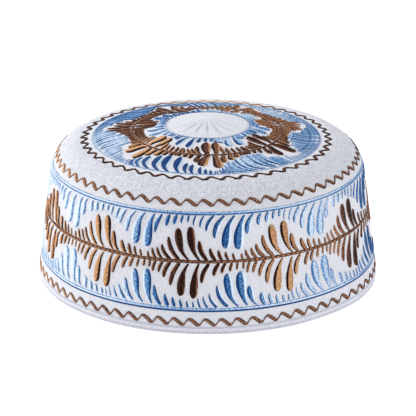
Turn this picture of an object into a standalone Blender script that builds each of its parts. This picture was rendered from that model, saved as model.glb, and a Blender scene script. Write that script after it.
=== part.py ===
"""Round embroidered prayer cap, as four sewn cloth pieces: rim_hem, side_band, crown and crown_centre.

Metres, +Z up. The origin is the centre of the rim's lower face, and -Y is the front of the cap.
Every piece is a closed wall turned about Z along one outline: a leaning straight side, a round
shoulder, and a shallow crown that rises in a gentle curve to the gathered centre.
"""

import math
from collections import namedtuple

import bmesh
import bpy

MM = 0.001

# Outline of the whole cap, as worn
RIM_RADIUS = 92.5 * MM
SIDE_LEAN = math.radians(7.66)  # how far the side leans in from upright
SHOULDER_START_HEIGHT = 59.6 * MM
SHOULDER_RADIUS = 19.2 * MM
CROWN_EDGE_SLOPE = math.radians(6.84)  # rise of the crown where it leaves the shoulder
APEX_HEIGHT = 87.4 * MM

# Cloth
WALL_THICKNESS = 2.0 * MM  # two plies of cotton with the embroidery through them
HEM_THICKNESS = 3.0 * MM  # the same wall with its edge turned in and stitched down
SEAM_GAP = 0.3 * MM
EDGE_ROUNDING = 0.5 * MM

# Where one piece ends and the next begins
HEM_WIDTH = 4.4 * MM
SEAM_HEIGHT = 70.4 * MM  # the crown is sewn to the side just above its upper wave
CENTRE_RADIUS = 21.7 * MM

# Rows of quilting that circle the shoulder
QUILT_ROWS = 9
QUILT_INNER_RADIUS = 68.6 * MM
QUILT_DEPTH = 0.3 * MM

# Gathers of the crown's centre
GATHERS = 16
GATHER_DEPTH = 0.7 * MM
GATHER_DEEPEST_RADIUS = 11.0 * MM
STEPS_PER_GATHER = 5

# How finely the solids are faceted
ROUND_STEPS = GATHERS * STEPS_PER_GATHER
SHOULDER_STEPS_BELOW_SEAM = 5
SIDE_STEPS = 4
CROWN_STEPS = 5
CENTRE_STEPS = 5
INNER_SHOULDER_STEPS = 4
INNER_CROWN_STEPS = 3
SAME_POINT = 0.001 * MM  # closer than this, two points are one
SHARP_EDGE = math.radians(50.0)

# Places where the soft rim stands out of or falls inside a true circle
Dent = namedtuple("Dent", "angle height half_angle half_height push")
DENTS = (
    Dent(angle=66, height=4 * MM, half_angle=26, half_height=26 * MM, push=0.8 * MM),
    Dent(angle=-68, height=8 * MM, half_angle=20, half_height=22 * MM, push=-0.8 * MM),
    Dent(angle=42, height=2 * MM, half_angle=14, half_height=16 * MM, push=-0.3 * MM),
    Dent(angle=-44, height=2 * MM, half_angle=18, half_height=16 * MM, push=-0.3 * MM),
    Dent(angle=150, height=6 * MM, half_angle=34, half_height=30 * MM, push=0.5 * MM),
    Dent(angle=-140, height=10 * MM, half_angle=30, half_height=30 * MM, push=-0.5 * MM),
)

# Cloth colour, roughness and how strongly its nap shows
Cloth = namedtuple("Cloth", "red green blue roughness sheen")
CLOTHS = {
    "rim_hem": Cloth(0.74, 0.75, 0.81, 0.95, 0.2),
    "side_band": Cloth(0.78, 0.79, 0.85, 0.90, 0.3),
    "crown": Cloth(0.76, 0.77, 0.83, 0.92, 0.3),
    "crown_centre": Cloth(0.80, 0.81, 0.86, 0.88, 0.3),
}


def shoulder_centre():
    """Centre (radius, height) of the arc that rounds the shoulder."""
    wall_radius = RIM_RADIUS - SHOULDER_START_HEIGHT * math.tan(SIDE_LEAN)
    return (
        wall_radius - SHOULDER_RADIUS * math.cos(SIDE_LEAN),
        SHOULDER_START_HEIGHT - SHOULDER_RADIUS * math.sin(SIDE_LEAN),
    )


def side_point(height, depth=0.0):
    """(radius, height) on the leaning side, depth inside its outer face."""
    radius = RIM_RADIUS - height * math.tan(SIDE_LEAN) - depth / math.cos(SIDE_LEAN)
    return radius, height


def shoulder_point(turn, depth=0.0):
    """(radius, height) on the shoulder, where turn is the angle of the outward normal above level."""
    centre_radius, centre_height = shoulder_centre()
    reach = SHOULDER_RADIUS - depth
    return centre_radius + reach * math.cos(turn), centre_height + reach * math.sin(turn)


def crown_point(radius, depth=0.0):
    """(radius, height) on the crown: a parabola that leaves the shoulder smoothly and meets the apex."""
    edge_radius, edge_height = shoulder_point(math.pi / 2 - CROWN_EDGE_SLOPE)
    slope = math.tan(CROWN_EDGE_SLOPE)
    curve = (APEX_HEIGHT - edge_height - edge_radius * slope) / edge_radius**2
    inward = edge_radius - radius
    height = edge_height + inward * slope + curve * inward**2
    return radius, height - depth / math.cos(CROWN_EDGE_SLOPE)


def turn_at_height(height):
    """Where on the shoulder the outer face is at this height."""
    return math.asin((height - shoulder_centre()[1]) / SHOULDER_RADIUS)


def turn_at_radius(radius):
    """Where on the shoulder the outer face has this radius."""
    return math.acos((radius - shoulder_centre()[0]) / SHOULDER_RADIUS)


def between(start, end, steps):
    """Evenly spaced values from start to end, both included."""
    return [start + (end - start) * i / steps for i in range(steps + 1)]


def rim_hem_outline():
    """Flat lower face with rounded corners, and the turned-in edge that makes the hem thicker."""
    return [
        side_point(EDGE_ROUNDING),
        side_point(HEM_WIDTH),
        side_point(HEM_WIDTH, HEM_THICKNESS),
        side_point(EDGE_ROUNDING, HEM_THICKNESS),
        side_point(0.0, HEM_THICKNESS - EDGE_ROUNDING),
        side_point(0.0, EDGE_ROUNDING),
    ]


def side_band_outline():
    """The leaning side and the lower part of the shoulder, up to the seam."""
    bottom = HEM_WIDTH + SEAM_GAP
    seam_turn = turn_at_height(SEAM_HEIGHT)
    outer = [side_point(z) for z in between(bottom, SHOULDER_START_HEIGHT, SIDE_STEPS)]
    outer += [
        shoulder_point(a) for a in between(SIDE_LEAN, seam_turn, SHOULDER_STEPS_BELOW_SEAM)[1:]
    ]
    inner = [
        side_point(z, WALL_THICKNESS)
        for z in between(bottom, SHOULDER_START_HEIGHT, SIDE_STEPS)
    ]
    inner += [
        shoulder_point(a, WALL_THICKNESS)
        for a in between(SIDE_LEAN, seam_turn, INNER_SHOULDER_STEPS)[1:]
    ]
    return outer + inner[::-1]


def crown_outline():
    """The quilted upper shoulder, whose rows stand up as low ribs, and the embroidered crown."""
    seam_turn = turn_at_height(SEAM_HEIGHT) + SEAM_GAP / SHOULDER_RADIUS
    quilt_end = turn_at_radius(QUILT_INNER_RADIUS)
    inner_radius = CENTRE_RADIUS + SEAM_GAP
    crown_edge = shoulder_point(math.pi / 2 - CROWN_EDGE_SLOPE)[0]
    outer = []
    for index, turn in enumerate(between(seam_turn, quilt_end, 2 * QUILT_ROWS)):
        in_valley = index % 2 == 0
        outer.append(shoulder_point(turn, QUILT_DEPTH if in_valley else 0.0))
    outer += [crown_point(r) for r in between(crown_edge, inner_radius, CROWN_STEPS)]
    inner = [
        shoulder_point(a, WALL_THICKNESS)
        for a in between(seam_turn, math.pi / 2 - CROWN_EDGE_SLOPE, INNER_SHOULDER_STEPS)
    ]
    edge_inside = inner[-1][0]
    inner += [
        crown_point(r, WALL_THICKNESS)
        for r in between(edge_inside, inner_radius, INNER_CROWN_STEPS)[1:]
    ]
    return outer + inner[::-1]


def crown_centre_outline():
    """The small gathered disc, from the apex out to its edge above, and back to the axis below."""
    radii = between(0.0, CENTRE_RADIUS, CENTRE_STEPS)
    outer = [crown_point(r) for r in radii]
    inner = [crown_point(r, WALL_THICKNESS) for r in radii]
    return outer + inner[::-1]


def rounded_bump(distance, half_width):
    """1 at the middle of a bump, falling smoothly to 0 at half_width and beyond."""
    if abs(distance) >= half_width:
        return 0.0
    return 0.5 + 0.5 * math.cos(math.pi * distance / half_width)


def dent_push(angle, height):
    """How far the cloth stands out at this angle, in degrees from the front, and height."""
    total = 0.0
    for dent in DENTS:
        turn = (angle - dent.angle + 180.0) % 360.0 - 180.0
        across = rounded_bump(turn, dent.half_angle)
        total += dent.push * across * rounded_bump(height - dent.height, dent.half_height)
    return total


def gather_drop(angle, radius):
    """How far a gather's crease lies below its puffed panels, angle in radians."""
    if radius >= CENTRE_RADIUS:
        return 0.0
    if radius < GATHER_DEEPEST_RADIUS:
        reach = radius / GATHER_DEEPEST_RADIUS
    else:
        reach = (CENTRE_RADIUS - radius) / (CENTRE_RADIUS - GATHER_DEEPEST_RADIUS)
    crease = 1.0 - abs(math.sin(GATHERS * angle / 2.0))
    return GATHER_DEPTH * reach * crease


def shape_cloth(mesh, gathered):
    """Moves a turned mesh's points to the dents of the rim and, at the centre, to the gathers."""
    for vert in mesh.verts:
        radius = math.hypot(vert.co.x, vert.co.y)
        if radius < SAME_POINT:
            continue
        angle = math.atan2(vert.co.x, -vert.co.y)
        wider = 1.0 + dent_push(math.degrees(angle), vert.co.z) / radius
        vert.co.x *= wider
        vert.co.y *= wider
        if gathered:
            vert.co.z -= gather_drop(angle, radius)


def cloth_material(name):
    """A plain matt cotton for one piece."""
    cloth = CLOTHS[name]
    material = bpy.data.materials.new(f"{name}_cotton")
    material.use_nodes = True
    shader = material.node_tree.nodes["Principled BSDF"]
    shader.inputs["Base Color"].default_value = (cloth.red, cloth.green, cloth.blue, 1.0)
    shader.inputs["Roughness"].default_value = cloth.roughness
    shader.inputs["Metallic"].default_value = 0.0
    shader.inputs["Sheen Weight"].default_value = cloth.sheen
    return material


def turned_piece(name, outline, gathered=False):
    """Turns a closed outline of (radius, height) points about Z into one cloth piece."""
    bm = bmesh.new()
    verts = [bm.verts.new((radius, 0.0, height)) for radius, height in outline]
    edges = [bm.edges.new(pair) for pair in zip(verts, verts[1:])]
    if min(radius for radius, _ in outline) > 0.0:
        edges.append(bm.edges.new((verts[-1], verts[0])))
    bmesh.ops.spin(
        bm,
        geom=verts + edges,
        cent=(0.0, 0.0, 0.0),
        axis=(0.0, 0.0, 1.0),
        dvec=(0.0, 0.0, 0.0),
        angle=2.0 * math.pi,
        steps=ROUND_STEPS,
        use_merge=True,
        use_duplicate=False,
    )
    bmesh.ops.remove_doubles(bm, verts=bm.verts, dist=SAME_POINT)
    shape_cloth(bm, gathered)
    bmesh.ops.recalc_face_normals(bm, faces=bm.faces)
    mesh = bpy.data.meshes.new(name)
    bm.to_mesh(mesh)
    bm.free()
    mesh.shade_smooth()
    mesh.set_sharp_from_angle(angle=SHARP_EDGE)
    mesh.materials.append(cloth_material(name))
    piece = bpy.data.objects.new(name, mesh)
    bpy.context.scene.collection.objects.link(piece)
    return piece


def clear_scene():
    for old in list(bpy.data.objects):
        bpy.data.objects.remove(old, do_unlink=True)


def main():
    clear_scene()
    turned_piece("rim_hem", rim_hem_outline())
    turned_piece("side_band", side_band_outline())
    turned_piece("crown", crown_outline())
    turned_piece("crown_centre", crown_centre_outline(), gathered=True)


main()
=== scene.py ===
"""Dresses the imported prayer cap: four cotton cloth walls, their satin-stitch embroidery, and a plain studio.

Every cloth and every piece of thread starts as a grid in a chart, whose two directions are the angle round
the cap, in degrees from the front, and a distance in metres. The side chart measures it up the outline from
the rim, and the crown chart measures it from the axis.
"""

import math
import random
from collections import namedtuple

import bmesh
import bpy
from mathutils import Matrix, Vector, noise


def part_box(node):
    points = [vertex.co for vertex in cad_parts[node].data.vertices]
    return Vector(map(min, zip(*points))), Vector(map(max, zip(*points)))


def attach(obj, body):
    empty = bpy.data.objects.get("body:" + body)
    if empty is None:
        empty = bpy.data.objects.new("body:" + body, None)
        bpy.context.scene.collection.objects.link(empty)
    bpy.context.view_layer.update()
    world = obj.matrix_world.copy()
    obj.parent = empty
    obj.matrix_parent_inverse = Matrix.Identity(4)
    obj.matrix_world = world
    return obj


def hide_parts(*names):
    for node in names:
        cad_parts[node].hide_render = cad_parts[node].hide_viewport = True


bl_info = {
    "name": "Embroidered Prayer Cap",
    "version": (1, 0, 0),
    "blender": (4, 5, 0),
    "location": "3D View > Sidebar > Prayer Cap",
    "description": "Makes the cloth, the embroidery and the studio of a round prayer cap",
    "category": "Object",
}

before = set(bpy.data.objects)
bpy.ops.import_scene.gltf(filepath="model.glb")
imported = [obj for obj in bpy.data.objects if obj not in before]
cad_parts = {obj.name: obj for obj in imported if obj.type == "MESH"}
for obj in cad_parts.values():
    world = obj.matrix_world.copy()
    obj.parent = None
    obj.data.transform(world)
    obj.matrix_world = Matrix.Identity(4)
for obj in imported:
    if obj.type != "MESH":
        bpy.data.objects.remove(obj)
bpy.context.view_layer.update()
BODY = "root"

MM = 0.001
FULL_TURN = 360.0
HALF_TURN = 180.0
SAME_POINT = 0.002 * MM
SHARP_EDGE = math.radians(60.0)

# Outline of the whole cap, as the solids have it
RIM_RADIUS = 92.5 * MM
SIDE_LEAN = math.radians(7.66)
SHOULDER_START_HEIGHT = 59.6 * MM
SHOULDER_RADIUS = 19.2 * MM
CROWN_EDGE_SLOPE = math.radians(6.84)
APEX_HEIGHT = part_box("crown_centre")[1].z
SEAM_GAP = 0.3 * MM
EDGE_ROUNDING = 0.5 * MM

# Where one cloth ends and the next begins
HEM_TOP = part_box("rim_hem")[1].z
SIDE_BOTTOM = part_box("side_band")[0].z
SIDE_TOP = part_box("side_band")[1].z
CENTRE_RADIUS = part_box("crown_centre")[1].x
CROWN_INNER_RADIUS = CENTRE_RADIUS + SEAM_GAP

# Places where the soft rim stands out of a true circle or falls inside it, as the solids have them: angles
# in degrees, heights and pushes in millimetres. Above DENTS_END the cap is round.
Dent = namedtuple("Dent", "angle height half_angle half_height push")
DENTS = (
    Dent(66, 4, 26, 26, 0.8),
    Dent(-68, 8, 20, 22, -0.8),
    Dent(42, 2, 14, 16, -0.3),
    Dent(-44, 2, 18, 16, -0.3),
    Dent(150, 6, 34, 30, 0.5),
    Dent(-140, 10, 30, 30, -0.5),
)
DENTS_END = 48 * MM

# Towards the back the crown's soft edge sinks, and its embroidery lies nearer the apex
BACK_ANGLE = 165
BACK_HALF_ANGLE = 125
SINK_DEPTH = 0.5 * MM
SINK_START = 35 * MM
SINK_FULL = 65 * MM
SINK_EASES = 79 * MM
SINK_END = 84.5 * MM
PATTERN_PULL = 5.0 * MM
PULL_START = 38 * MM
PULL_FULL = 62 * MM

# Quilting round the shoulder. A valley's half width is given as a share of a row. The puckers are drawn out
# up the cloth where their stretch is below 1, and a shade says how dark the cotton is painted there: painted
# shade in the stitches and in the puckers' hollows.
QUILT_ROWS = 9
QUILT_END_RADIUS = 68.6 * MM
QUILT_VALLEY = 0.24
PITS_PER_ROW = 428
COLUMNS_PER_PIT = 3
PUCKER_SIZE = 1.0 * MM
PUCKER_STRETCH = 0.5
QUILT_STITCH_SHADE = 1.7
PUCKER_SHADE = 0.3

# Stitches that hold the hem's turned-in edge, with painted shade in them and in fine upright ribs between them
HEM_STITCHES = 528
HEM_ROW_HEIGHTS = (1.2 * MM, 3.7 * MM)
HEM_STITCH_WIDTH = 0.5 * MM
HEM_STITCH_DEPTH = 0.35 * MM
HEM_STITCH_SHADE = 2.2
HEM_RIB_SIZE = 0.8 * MM
HEM_RIB_STRETCH = 0.25
HEM_RIB_SHADE = 0.35

# Gathers of the crown's centre, with painted shade in their creases
GATHERS = 16
GATHER_DEEPEST_RADIUS = 11.0 * MM
GATHER_SHARPNESS = 1.6
GATHER_SHADE = 0.9

# The soft hollows of each cloth: their size and their depth
HEM_HOLLOWS = (5 * MM, 0.14 * MM)
SIDE_HOLLOWS = (7 * MM, 0.18 * MM)
QUILT_HOLLOWS = (8 * MM, 0.12 * MM)
CROWN_HOLLOWS = (5 * MM, 0.14 * MM)

# The embroidery repeats this often round the side and round the crown
SIDE_REPEATS = 11
CROWN_REPEATS = 7

# Heights of the side's stem and edge lines, along the outline from the rim
SIDE_STEM = 38.65 * MM
LOWER_LINE = 13.6 * MM
UPPER_LINE = 63.9 * MM
# Radii of the crown's stem and edge lines
CROWN_STEM = 40.6 * MM
INNER_LINE = 22.9 * MM
OUTER_LINE = 62.2 * MM

# One embroidered leaf: the angles of its root and its tip in degrees, then how far it reaches in its chart
# and how wide it is, in millimetres
Leaf = namedtuple("Leaf", "root tip reach width")


def leaves(*rows):
    """The leaves of one repeat on one side of the line that they grow from."""
    return [Leaf(*row) for row in rows]


SIDE_VINE_UP = leaves(
    (-20.9, -21.3, 42.6, 1.5), (-18.3, -19.8, 44.4, 1.7), (-15.8, -17.8, 45.2, 1.8),
    (-12.8, -16.0, 47.0, 2.1), (-9.7, -13.7, 51.3, 2.4), (-6.2, -10.4, 56.0, 3.9), (-2.4, -6.0, 57.0, 4.0),
    (0.0, -2.9, 49.8, 2.6), (2.9, 0.9, 46.0, 2.3), (5.0, 3.8, 44.9, 1.9), (7.2, 6.2, 44.0, 1.7),
    (9.3, 8.6, 43.0, 1.6),
)
SIDE_VINE_DOWN = leaves(
    (-20.4, -20.6, 34.2, 1.5), (-18.2, -19.2, 32.0, 1.6), (-15.7, -17.2, 31.8, 1.8),
    (-12.8, -15.1, 29.4, 2.2), (-9.5, -12.7, 25.4, 2.5), (-6.2, -9.2, 20.2, 4.0), (-2.7, -4.7, 19.1, 4.0),
    (0.7, -2.0, 27.3, 2.5), (3.9, 2.0, 31.1, 2.3), (6.1, 4.7, 32.4, 2.0), (8.3, 7.5, 33.2, 1.7),
    (10.3, 9.9, 34.1, 1.6),
)
SIDE_BLUE_HANGING = leaves(
    (-4.0, -4.9, 57.5, 1.2), (-1.2, -2.6, 56.5, 1.4), (2.2, -0.6, 54.6, 1.8), (6.0, 2.2, 50.8, 2.2),
    (9.7, 6.0, 45.4, 4.4), (13.2, 10.5, 44.7, 4.5), (16.3, 13.6, 52.6, 2.5), (19.2, 18.0, 56.5, 2.3),
    (21.8, 20.8, 57.6, 2.0), (24.2, 23.6, 58.5, 1.6), (26.4, 26.0, 59.3, 1.4),
)
SIDE_BLUE_RISING = leaves(
    (-4.5, -4.8, 17.8, 1.2), (-2.5, -3.4, 19.9, 1.2), (0.0, -1.6, 20.7, 1.4), (3.1, 0.4, 22.4, 1.7),
    (6.9, 3.0, 26.6, 2.3), (10.3, 6.4, 32.4, 4.2), (13.4, 11.0, 33.2, 4.8), (16.5, 13.9, 25.1, 2.7),
    (19.3, 18.0, 21.0, 2.2), (21.8, 20.9, 19.8, 1.9), (24.2, 23.5, 18.8, 1.6), (26.4, 25.9, 18.0, 1.4),
)
CROWN_VINE_OUT = leaves(
    (-19.5, -20.8, 43.9, 2.3), (-14.8, -16.4, 44.2, 2.4), (-10.4, -12.3, 45.4, 2.6),
    (-5.0, -7.5, 48.8, 3.0), (1.6, -3.2, 53.0, 4.6), (5.4, 6.2, 55.4, 4.6), (12.2, 10.4, 49.6, 3.5),
    (17.4, 15.6, 47.4, 3.4), (21.9, 20.2, 45.2, 3.0), (25.8, 24.8, 44.3, 2.7), (29.2, 28.2, 43.8, 2.4),
)
CROWN_VINE_IN = leaves(
    (-18.0, -20.6, 34.9, 2.0), (-12.9, -17.1, 35.0, 2.0), (-8.7, -13.4, 34.6, 2.2), (-4.6, -9.6, 31.8, 2.6),
    (0.8, -1.6, 27.4, 4.6), (6.2, 8.0, 27.4, 4.3), (13.2, 12.4, 32.3, 2.2), (17.6, 16.4, 34.0, 2.3),
    (22.0, 21.0, 34.6, 2.2), (26.2, 25.6, 34.6, 2.1), (29.8, 29.4, 34.9, 2.0),
)
CROWN_BLUE_OUT = leaves(
    (-33.6, -40.4, 52.5, 2.6), (-28.2, -37.2, 49.3, 3.4), (-23.0, -30.9, 46.7, 4.3),
    (-18.3, -25.2, 44.4, 4.6), (-13.3, -17.8, 45.0, 4.3), (-9.8, -11.9, 51.2, 2.6), (-6.8, -8.4, 52.3, 2.4),
    (-3.3, -3.9, 54.6, 1.9), (-0.5, -0.9, 56.9, 1.7), (2.1, 1.8, 58.0, 1.6), (4.8, 4.3, 58.6, 1.6),
    (9.0, 6.9, 57.4, 1.7), (13.0, 8.9, 55.2, 2.0),
)
CROWN_BLUE_IN = leaves(
    (-30.5, -36.6, 28.4, 2.6), (-23.5, -29.6, 32.6, 3.6), (-16.0, -18.0, 33.5, 3.8),
    (-8.8, -9.8, 27.6, 2.6), (-2.4, -1.8, 26.4, 2.0), (5.4, 5.8, 26.6, 2.0), (13.4, 12.2, 27.6, 2.4),
)

# How the thread changes round the cap. Each thread is one colour in even light, and its tones paint its sheen
# and shade: they run from 0, the painted shade where the thread turns from the softboxes, to 1, the painted
# sheen where it faces them, in a leaf's middle and at its edges towards lower and higher angles, which paints
# a leaf's sides lit or shaded. A tone beyond 0 or 1 brings that colour further into the leaf. fullness widens
# the leaves, and shift moves them round the cap by so many degrees.
Thread = namedtuple("Thread", "angle middle lower higher fullness shift", defaults=(0.0,))


def threads(*rows):
    """The rows of a thread table, in the order of their angles from 0 to a full turn."""
    return sorted((Thread(*row) for row in rows), key=lambda entry: entry.angle % FULL_TURN)


SIDE_VINE_THREAD = threads(
    (-74, 0.86, 0.95, 0.3, 2.0, 2.4), (-56, 0.74, 0.85, 0.0, 1.15, 1.6),
    (-41, 0.78, 0.85, -0.35, 1.22, 1.5), (-24, 0.48, 0.75, -0.6, 1.15, 0.8),
    (-14, 0.08, 0.55, -0.25, 1.12, 0.4), (-7, -0.36, 0.05, 0.35, 1.15, 0.1),
    (0, -0.22, -0.3, 0.7, 1.1, 0.1), (9, 0.3, -0.4, 0.9, 1.12, 0.0), (24, 0.72, -0.45, 0.65, 1.28, 0.2),
    (41, 0.66, -0.25, 0.5, 1.15, 0.3), (49, 0.55, 0.6, -0.2, 1.15, 0.4), (54, 0.15, 0.4, -0.8, 1.32, 0.4),
    (60, -0.28, 0.22, -0.6, 1.34, 0.4), (68, -0.1, 0.3, -0.4, 1.15, 0.8), (78, 0.1, 0.3, -0.1, 1.0, 3.5),
    (92, 0.2, 0.3, 0.0, 1.0, 12.0), (123, 0.78, 0.6, 0.05, 1.2, 0.4), (155, 0.1, 0.4, 0.2, 1.15, -0.5),
    (188, 0.74, -0.3, 0.6, 1.2, 0.3), (221, 0.15, 0.5, 0.0, 1.15, -0.3), (253, 0.78, 0.7, -0.1, 1.2, 0.6),
)
SIDE_FERN_THREAD = threads(
    (-90, 1.0, 1.0, 0.95, 1.1, 2.4), (-72, 1.0, 1.0, 0.75, 2.0, 2.4), (-57, 1.0, 1.0, 0.5, 1.9, 2.2),
    (-38, 1.0, 1.0, 0.35, 1.75, 1.6), (-24, 0.5, 1.5, -0.2, 1.15, 1.1), (-16, 0.12, 0.7, -0.15, 1.1, 0.6),
    (-8, -0.08, -0.1, 1.1, 1.15, 0.2), (8, 0.2, -0.3, 1.8, 1.35, 0.1), (20, 0.62, -0.5, 1.6, 1.4, 0.0),
    (41, 0.9, 0.45, 0.3, 1.45, -0.6), (52, 0.5, 0.95, -0.8, 1.4, -0.3), (64, -0.12, 0.5, -0.6, 1.2, 0.0),
    (76, -0.3, 0.2, -0.5, 1.1, 0.0), (90, -0.3, 0.1, -0.4, 1.1, 0.0), (106, 0.7, 0.3, 0.8, 1.15, 0.4),
    (139, 0.2, -0.4, 1.6, 1.1, -0.4), (172, 0.82, 0.6, 0.0, 1.2, 0.3), (204, 0.25, 1.2, -0.5, 1.1, -0.2),
    (237, 0.9, 0.9, 0.5, 1.2, 0.8),
)
CROWN_VINE_THREAD = threads(
    (-152, 0.42, 0.7, -0.4, 1.15), (-105, 0.46, 0.85, -0.4, 1.62), (-75, 0.46, 0.95, -0.6, 1.7),
    (-60, 0.82, 1.0, -0.1, 1.54), (-45, 0.92, 1.0, -0.2, 1.15), (-25, 0.5, 0.95, -0.5, 1.3),
    (-10, 0.12, 0.8, -0.3, 1.22), (-4, 0.16, -1.0, 0.95, 1.25), (6, 0.34, -1.0, 1.05, 1.25),
    (13, 0.4, -0.6, 1.0, 1.15), (22, 0.35, -0.3, 1.0, 1.2), (32, 0.0, 0.5, -0.4, 1.12),
    (46, -0.2, 0.35, -0.5, 1.22), (56, -0.34, 0.35, -0.6, 1.22), (66, 0.05, 0.65, -0.6, 1.25),
    (80, 0.14, 0.62, -0.6, 1.6), (105, 0.22, 0.62, -0.6, 1.65), (153, 0.38, 0.7, -0.4, 1.15),
)
CROWN_FERN_THREAD = threads(
    (-150, 0.58, 0.9, -0.4, 1.9), (-120, 0.52, 0.8, 0.1, 2.1), (-88, 0.88, 0.85, 0.3, 2.3),
    (-72, 0.96, 0.9, 0.5, 2.4), (-52, 0.96, 1.0, 0.45, 2.4), (-43, 0.2, -0.2, 2.0, 1.45),
    (-24, -0.34, -0.5, 2.0, 1.52), (-8, -0.34, -0.4, 2.0, 1.52), (4, 0.05, -0.35, 2.2, 1.5),
    (12, 0.75, 0.1, 1.0, 2.3), (20, 0.85, 0.1, 0.95, 2.6), (36, 0.62, -0.1, 0.9, 2.5),
    (48, 0.24, 1.2, -0.9, 2.0), (60, 0.12, 0.85, -0.5, 1.9), (75, 0.22, 0.75, -0.4, 1.9),
    (100, 0.28, 0.6, -0.3, 2.0), (130, 0.7, 0.95, -0.7, 1.9), (170, 0.7, 0.95, -0.7, 1.9),
)


def number(name, description, default, unit="LENGTH"):
    """A number in the sidebar, which is a length unless it has another unit."""
    return bpy.props.FloatProperty(name=name, description=description, default=default, unit=unit)


def colour(name, description, default):
    """A colour in the sidebar."""
    return bpy.props.FloatVectorProperty(
        name=name, description=description, default=default, min=0.0, max=1.0, subtype="COLOR"
    )


class ClothSettings(bpy.types.PropertyGroup):
    """Sizes and colours of the four cotton cloths."""

    wall_thickness: number(
        "Wall Thickness", "Two plies of cotton with the embroidery through them", 2.0 * MM
    )
    hem_thickness: number("Hem Thickness", "The wall with its edge turned in and stitched down", 3.0 * MM)
    quilt_depth: number("Quilting Depth", "How far a row of stitches pulls the quilting in", 0.55 * MM)
    gather_depth: number(
        "Gather Depth", "How far a crease of the crown's centre lies below its puffed panels", 0.7 * MM
    )
    cotton: colour("Cotton", "Bleached cotton with a faint cool cast", (0.94, 0.945, 1.0))
    weave_pitch: number("Weave Pitch", "Distance from one thread of the cloth to the next", 0.5 * MM)


class ThreadSettings(bpy.types.PropertyGroup):
    """Sizes of the embroidery threads, and the colours of their painted shade, their even light and their
    painted sheen.
    """

    leaf_relief: number("Leaf Relief", "How far a wide leaf stands out of the cloth", 0.75 * MM)
    line_relief: number("Line Relief", "How far lines, stems and waves stand out of the cloth", 0.55 * MM)
    buried_edge: number("Buried Edge", "How deep the embroidery's edge sinks into the cloth", 0.2 * MM)
    # Each thread's colour in painted shade, in even light and in painted sheen
    brown_dark: colour("Shaded Brown", "Brown thread where it turns from the light", (0.018, 0.005, 0.003))
    brown_middle: colour("Middle Brown", "Brown thread in even light", (0.26, 0.11, 0.062))
    brown_light: colour("Brown Sheen", "Brown thread where its sheen faces the light", (0.80, 0.45, 0.21))
    blue_dark: colour("Shaded Blue", "Blue thread where it turns from the light", (0.007, 0.052, 0.19))
    blue_middle: colour("Middle Blue", "Blue thread in even light", (0.10, 0.27, 0.56))
    blue_light: colour("Blue Sheen", "Blue thread where its sheen faces the light", (0.76, 0.88, 1.0))


class StudioSettings(bpy.types.PropertyGroup):
    """The floor, the lights and the camera."""

    floor_size: number("Floor Size", "Side of the square floor", 16.0)
    floor_glow: number("Floor Glow", "Light that the table under the cap gives off", 0.75, "NONE")
    sky: number("Sky", "Strength of the even light from all round", 0.62, "NONE")
    left_power: number("Left Softbox", "Power of the softbox on the left", 10.2, "POWER")
    right_power: number("Right Softbox", "Power of the softbox on the right", 3.6, "POWER")
    back_power: number("Back Softbox", "Power of the softbox at the back on the left", 1.5, "POWER")
    camera_place: bpy.props.FloatVectorProperty(
        name="Camera Place",
        description="Where the camera stands",
        default=(0.0, -1.2235, 0.48964),
        unit="LENGTH",
    )
    camera_pitch: number(
        "Camera Pitch", "How far it is tipped up from straight down", math.radians(69.627), "ROTATION"
    )
    camera_turn: number(
        "Camera Turn", "How far it is turned about the vertical", math.radians(-0.0132), "ROTATION"
    )
    lens: number("Lens", "Focal length on a 36 mm wide sensor", 207.07, "CAMERA")


# Surface of the cap

SurfacePoint = namedtuple("SurfacePoint", "radius height lean")

# The centre of the arc that rounds the shoulder, and where the arc starts along the outline
SHOULDER_CENTRE_RADIUS = (
    RIM_RADIUS - SHOULDER_START_HEIGHT * math.tan(SIDE_LEAN) - SHOULDER_RADIUS * math.cos(SIDE_LEAN)
)
SHOULDER_CENTRE_HEIGHT = SHOULDER_START_HEIGHT - SHOULDER_RADIUS * math.sin(SIDE_LEAN)
SHOULDER_START = SHOULDER_START_HEIGHT / math.cos(SIDE_LEAN)


def shoulder_at(turn):
    """The shoulder where its outward normal stands at this angle above level."""
    radius = SHOULDER_CENTRE_RADIUS + SHOULDER_RADIUS * math.cos(turn)
    return SurfacePoint(radius, SHOULDER_CENTRE_HEIGHT + SHOULDER_RADIUS * math.sin(turn), turn)


# Where the shoulder ends, and how the crown rises and curves from there to the apex
CROWN_EDGE = shoulder_at(math.pi / 2 - CROWN_EDGE_SLOPE)
CROWN_RISE = math.tan(CROWN_EDGE_SLOPE)
CROWN_CURVE = (APEX_HEIGHT - CROWN_EDGE.height - CROWN_EDGE.radius * CROWN_RISE) / CROWN_EDGE.radius**2


def side_chart(along):
    """The outline at a distance from the rim, up the leaning side and round the shoulder."""
    if along > SHOULDER_START:
        return shoulder_at(SIDE_LEAN + (along - SHOULDER_START) / SHOULDER_RADIUS)
    radius = RIM_RADIUS - along * math.sin(SIDE_LEAN)
    return SurfacePoint(radius, along * math.cos(SIDE_LEAN), SIDE_LEAN)


def crown_chart(radius):
    """The outline at a distance from the axis, on the shoulder or on the crown's parabola."""
    if radius > CROWN_EDGE.radius:
        return shoulder_at(math.acos((radius - SHOULDER_CENTRE_RADIUS) / SHOULDER_RADIUS))
    inward = CROWN_EDGE.radius - radius
    lean = math.pi / 2 - math.atan(CROWN_RISE + 2 * CROWN_CURVE * inward)
    return SurfacePoint(radius, CROWN_EDGE.height + inward * (CROWN_RISE + CROWN_CURVE * inward), lean)


def along_shoulder(turn):
    """Distance from the rim, along the outline, to where the shoulder's normal stands at this angle."""
    return SHOULDER_START + (turn - SIDE_LEAN) * SHOULDER_RADIUS


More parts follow.
